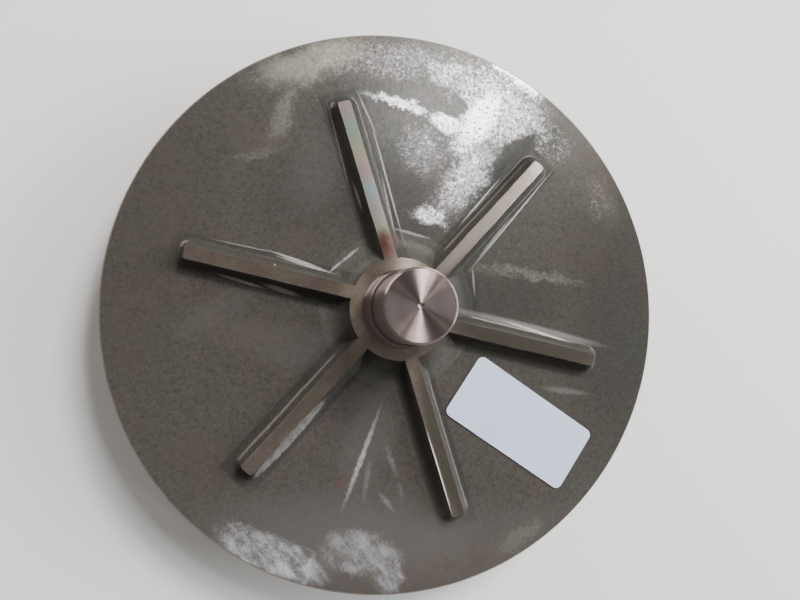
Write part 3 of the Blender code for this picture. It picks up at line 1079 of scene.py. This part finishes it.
class IMPELLER_OT_studio(bpy.types.Operator):
    """Lay the pale floor, hang the soft lights and set the camera at the photograph's angle"""

    bl_idname = "impeller.studio"
    bl_label = "Floor, lights and camera"

    def execute(self, context):
        self.floor(context)
        self.world(context)
        self.area("key_light", (0.55, 0.88, 1.15), (0.50, 0.35), (1.0, 0.98, 0.95), 28.0)
        self.area("window_light", (0.30, 0.45, 1.00), (0.14, 0.14), (0.88, 0.93, 1.0), 4.2)
        self.area("warm_light", (0.68, 0.43, 1.00), (0.09, 0.09), (1.0, 0.93, 0.80), 1.2)
        self.area("side_light", (1.40, 0.20, 0.70), (1.4, 0.8), (0.90, 0.95, 1.0), 40.0)
        self.area("table_light", (0.80, -0.42, 1.00), (0.12, 0.12), (1.0, 0.98, 0.96), 0.6)
        self.area("fill_light", (-1.00, 1.10, 0.24), (1.2, 0.3), (1.0, 0.97, 0.93), 15.0)
        self.camera(context)
        return {"FINISHED"}

    def floor(self, context):
        bpy.ops.object.select_all(action="DESELECT")
        bpy.ops.mesh.primitive_plane_add(size=6.0)
        floor = named("studio_floor")
        finish = Finish("studio_floor")
        floor.data.materials.append(finish.dress(
            Base_Color=(*context.scene.impeller_colours.floor, 1.0), Roughness=0.9))

    def world(self, context):
        world = bpy.data.worlds.new("studio")
        world.use_nodes = True
        background = world.node_tree.nodes["Background"]
        background.inputs["Color"].default_value = (1.0, 0.97, 0.92, 1.0)
        background.inputs["Strength"].default_value = 0.25
        context.scene.world = world

    def area(self, name, place, size, colour, power):
        """Soft rectangular light aimed at the impeller's middle."""
        light = bpy.data.lights.new(name, "AREA")
        light.shape = "RECTANGLE"
        light.size, light.size_y = size
        light.color = colour
        light.energy = power
        item = bpy.data.objects.new(name, light)
        item.location = place
        aim = Vector((0.0, 0.0, 0.03)) - Vector(place)
        item.rotation_euler = aim.to_track_quat("-Z", "Y").to_euler()
        bpy.context.scene.collection.objects.link(item)

    def camera(self, context):
        camera = bpy.data.cameras.new("photo_camera")
        camera.sensor_width = 36.0
        camera.lens = 29.25
        camera.clip_start = 0.01
        item = bpy.data.objects.new("photo_camera", camera)
        item.location = (-50.1 * MM, -8.5 * MM, 274.4 * MM)
        item.rotation_euler = Euler((math.radians(2.78), math.radians(-11.68), 0.0))
        context.scene.collection.objects.link(item)
        context.scene.camera = item


STEPS = (IMPELLER_OT_turned_body, IMPELLER_OT_ribs, IMPELLER_OT_working_vanes,
         IMPELLER_OT_casting_finish, IMPELLER_OT_label, IMPELLER_OT_studio)


class IMPELLER_PT_sidebar(bpy.types.Panel):
    """Lists the steps in their order"""

    bl_idname = "IMPELLER_PT_sidebar"
    bl_label = "Pump impeller"
    bl_space_type = "VIEW_3D"
    bl_region_type = "UI"
    bl_category = "Impeller"

    def draw(self, context):
        for step in STEPS:
            self.layout.operator(step.bl_idname)
        for group in (context.scene.impeller_casting, context.scene.impeller_label,
                      context.scene.impeller_colours):
            box = self.layout.box()
            for name in group.bl_rna.properties.keys():
                if name not in ("rna_type", "name"):
                    box.prop(group, name)


GROUPS = {"impeller_casting": CastingSizes, "impeller_label": LabelSizes, "impeller_colours": FinishColours}


def register():
    for kind in (*GROUPS.values(), *STEPS, IMPELLER_PT_sidebar):
        bpy.utils.register_class(kind)
    for name, group in GROUPS.items():
        setattr(bpy.types.Scene, name, PointerProperty(type=group))


def unregister():
    for name in GROUPS:
        delattr(bpy.types.Scene, name)
    for kind in (IMPELLER_PT_sidebar, *reversed(STEPS), *reversed(list(GROUPS.values()))):
        bpy.utils.unregister_class(kind)


def main():
    register()
    bpy.ops.impeller.turned_body()
    bpy.ops.impeller.ribs()
    bpy.ops.impeller.working_vanes()
    bpy.ops.impeller.casting_finish()
    bpy.ops.impeller.label()
    bpy.ops.impeller.studio()


if __name__ == "__main__":
    main()
